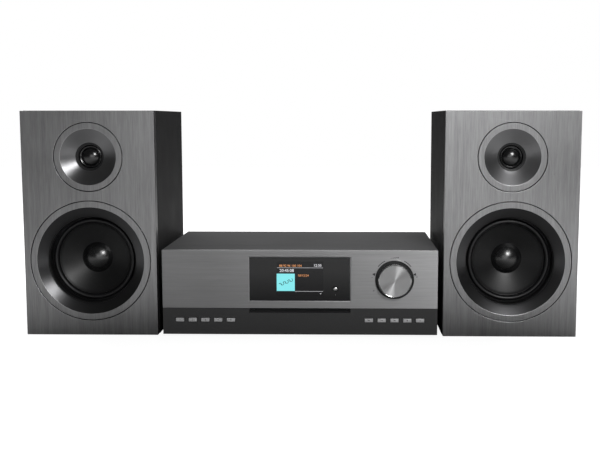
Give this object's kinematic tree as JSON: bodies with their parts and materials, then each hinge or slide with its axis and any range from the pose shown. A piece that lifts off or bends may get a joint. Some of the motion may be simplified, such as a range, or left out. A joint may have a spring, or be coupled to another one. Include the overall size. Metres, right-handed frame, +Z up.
{
  "type": "mini hifi system",
  "caption": "Slot-in disc and radio receiver with display, knob and buttons, between a pair of rear-ported two-way bookshelf speakers.",
  "frame": {"origin": "on the surface that the system stands on, below the middle of its outer box", "axes": "+X to the right seen from the front, +Y from the front to the back, +Z up"},
  "size_m": [0.6834, 0.218, 0.2786],
  "materials": {
    "brushed_aluminium": "brushed along x, satin",
    "brushed_baffle": "satin metallic film brushed along z, over fibreboard",
    "brushed_trim": "satin, brushed along z",
    "dark_panel": "matte",
    "rear_steel": "matte black paint",
    "cover_film": "matte with a faint grain",
    "cabinet_board": "dark textured film",
    "display_glass": "gloss",
    "knob_metal": "spun",
    "key_plastic": "satin metallic",
    "black_plastic": "matte",
    "black_rubber": "satin",
    "bare_steel": "zinc plated",
    "circuit_board": "solder mask",
    "transformer_iron": "varnished",
    "ferrite": "matte",
    "cone": "satin, glossy dust cap",
    "horn_metal": "satin spun",
    "dome_gloss": "gloss"
  },
  "bodies": {
    "receiver": {"base_chassis": "bare_steel", "top_cover": "cover_film", "rear_panel": "rear_steel", "upper_fascia": "brushed_aluminium", "lower_fascia": "dark_panel", "display_window": "display_glass", "display_module": "circuit_board", "encoder_body": "bare_steel", "control_board": "circuit_board", "main_board": "circuit_board", "power_transformer": "transformer_iron", "cd_loader_frame": "bare_steel", "speaker_terminals": "black_plastic", "mains_inlet": "black_plastic", "foot_front_left": "black_rubber", "foot_front_right": "black_rubber", "foot_rear_left": "black_rubber", "foot_rear_right": "black_rubber"},
    "knob_rotor": {"encoder_rotor": "black_plastic"},
    "knob": {"knob_cap": "knob_metal", "encoder_shaft": "bare_steel"},
    "power_button": {"power_button": "knob_metal"},
    "disc_turntable": {"cd_spindle": "black_plastic", "cd_clamper": "black_plastic"},
    "laser_pickup": {"cd_pickup": "black_plastic"},
    "feed_roller": {"cd_feed_roller": "black_rubber"},
    "preset_button_1": {"preset_button_1": "key_plastic"},
    "preset_button_2": {"preset_button_2": "key_plastic"},
    "preset_button_3": {"preset_button_3": "key_plastic"},
    "preset_button_4": {"preset_button_4": "key_plastic"},
    "preset_button_5": {"preset_button_5": "key_plastic"},
    "transport_button_1": {"transport_button_1": "key_plastic"},
    "transport_button_2": {"transport_button_2": "key_plastic"},
    "transport_button_3": {"transport_button_3": "key_plastic"},
    "transport_button_4": {"transport_button_4": "key_plastic"},
    "transport_button_5": {"transport_button_5": "key_plastic"},
    "left_speaker": {"left_cabinet": "cabinet_board", "left_baffle": "brushed_baffle", "left_woofer_trim": "brushed_trim", "left_woofer_basket": "black_plastic", "left_woofer_surround": "black_rubber", "left_woofer_magnet": "ferrite", "left_tweeter_horn": "horn_metal", "left_tweeter_magnet": "ferrite", "left_terminal_cup": "black_plastic", "left_port_tube": "black_plastic"},
    "left_cone": {"left_woofer_cone": "cone"},
    "left_dome": {"left_tweeter_dome": "dome_gloss"},
    "right_speaker": {"right_cabinet": "cabinet_board", "right_baffle": "brushed_baffle", "right_woofer_trim": "brushed_trim", "right_woofer_basket": "black_plastic", "right_woofer_surround": "black_rubber", "right_woofer_magnet": "ferrite", "right_tweeter_horn": "horn_metal", "right_tweeter_magnet": "ferrite", "right_terminal_cup": "black_plastic", "right_port_tube": "black_plastic"},
    "right_cone": {"right_woofer_cone": "cone"},
    "right_dome": {"right_tweeter_dome": "dome_gloss"}
  },
  "joints": [
    {"name": "volume_turn", "type": "hinge", "parent": "receiver", "child": "knob_rotor", "pos_m": [0.1167, -0.097, 0.0718], "axis": [0, -1, 0], "continuous": true},
    {"name": "volume_push", "type": "slide", "parent": "knob_rotor", "child": "knob", "axis": [0, 1, 0], "range_m": [0, 0.0006], "stiffness_N_per_m": 300, "springref_m": -0.002},
    {"name": "power_press", "type": "slide", "parent": "receiver", "child": "power_button", "axis": [0, 1, 0], "range_m": [0, 0.0006], "stiffness_N_per_m": 60, "springref_m": -0.001},
    {"name": "preset_press_1", "type": "slide", "parent": "receiver", "child": "preset_button_1", "axis": [0, 1, 0], "range_m": [0, 0.0008], "stiffness_N_per_m": 80, "springref_m": -0.001},
    {"name": "preset_press_2", "type": "slide", "parent": "receiver", "child": "preset_button_2", "axis": [0, 1, 0], "range_m": [0, 0.0008], "stiffness_N_per_m": 80, "springref_m": -0.001},
    {"name": "preset_press_3", "type": "slide", "parent": "receiver", "child": "preset_button_3", "axis": [0, 1, 0], "range_m": [0, 0.0008], "stiffness_N_per_m": 80, "springref_m": -0.001},
    {"name": "preset_press_4", "type": "slide", "parent": "receiver", "child": "preset_button_4", "axis": [0, 1, 0], "range_m": [0, 0.0008], "stiffness_N_per_m": 80, "springref_m": -0.001},
    {"name": "preset_press_5", "type": "slide", "parent": "receiver", "child": "preset_button_5", "axis": [0, 1, 0], "range_m": [0, 0.0008], "stiffness_N_per_m": 80, "springref_m": -0.001},
    {"name": "transport_press_1", "type": "slide", "parent": "receiver", "child": "transport_button_1", "axis": [0, 1, 0], "range_m": [0, 0.0008], "stiffness_N_per_m": 80, "springref_m": -0.001},
    {"name": "transport_press_2", "type": "slide", "parent": "receiver", "child": "transport_button_2", "axis": [0, 1, 0], "range_m": [0, 0.0008], "stiffness_N_per_m": 80, "springref_m": -0.001},
    {"name": "transport_press_3", "type": "slide", "parent": "receiver", "child": "transport_button_3", "axis": [0, 1, 0], "range_m": [0, 0.0008], "stiffness_N_per_m": 80, "springref_m": -0.001},
    {"name": "transport_press_4", "type": "slide", "parent": "receiver", "child": "transport_button_4", "axis": [0, 1, 0], "range_m": [0, 0.0008], "stiffness_N_per_m": 80, "springref_m": -0.001},
    {"name": "transport_press_5", "type": "slide", "parent": "receiver", "child": "transport_button_5", "axis": [0, 1, 0], "range_m": [0, 0.0008], "stiffness_N_per_m": 80, "springref_m": -0.001},
    {"name": "disc_spin", "type": "hinge", "parent": "receiver", "child": "disc_turntable", "pos_m": [0, -0.019, 0.028], "axis": [0, 0, 1], "continuous": true},
    {"name": "pickup_slide", "type": "slide", "parent": "receiver", "child": "laser_pickup", "axis": [0, 1, 0], "range_m": [0, 0.035]},
    {"name": "roller_turn", "type": "hinge", "parent": "receiver", "child": "feed_roller", "pos_m": [0, -0.071, 0.0257], "axis": [1, 0, 0], "continuous": true},
    {"name": "left_speaker_move", "type": "slide", "parent": "receiver", "child": "left_speaker", "axis": [-1, 0, 0], "range_m": [0, 0.3]},
    {"name": "left_cone_stroke", "type": "slide", "parent": "left_speaker", "child": "left_cone", "axis": [0, -1, 0], "range_m": [-0.003, 0.003], "stiffness_N_per_m": 800, "deforming": ["left_woofer_surround"]},
    {"name": "left_dome_stroke", "type": "slide", "parent": "left_speaker", "child": "left_dome", "axis": [0, -1, 0], "range_m": [-0.0003, 0.0003], "stiffness_N_per_m": 150},
    {"name": "right_speaker_move", "type": "slide", "parent": "receiver", "child": "right_speaker", "axis": [1, 0, 0], "range_m": [0, 0.3]},
    {"name": "right_cone_stroke", "type": "slide", "parent": "right_speaker", "child": "right_cone", "axis": [0, -1, 0], "range_m": [-0.003, 0.003], "stiffness_N_per_m": 800, "deforming": ["right_woofer_surround"]},
    {"name": "right_dome_stroke", "type": "slide", "parent": "right_speaker", "child": "right_dome", "axis": [0, -1, 0], "range_m": [-0.0003, 0.0003], "stiffness_N_per_m": 150}
  ]
}
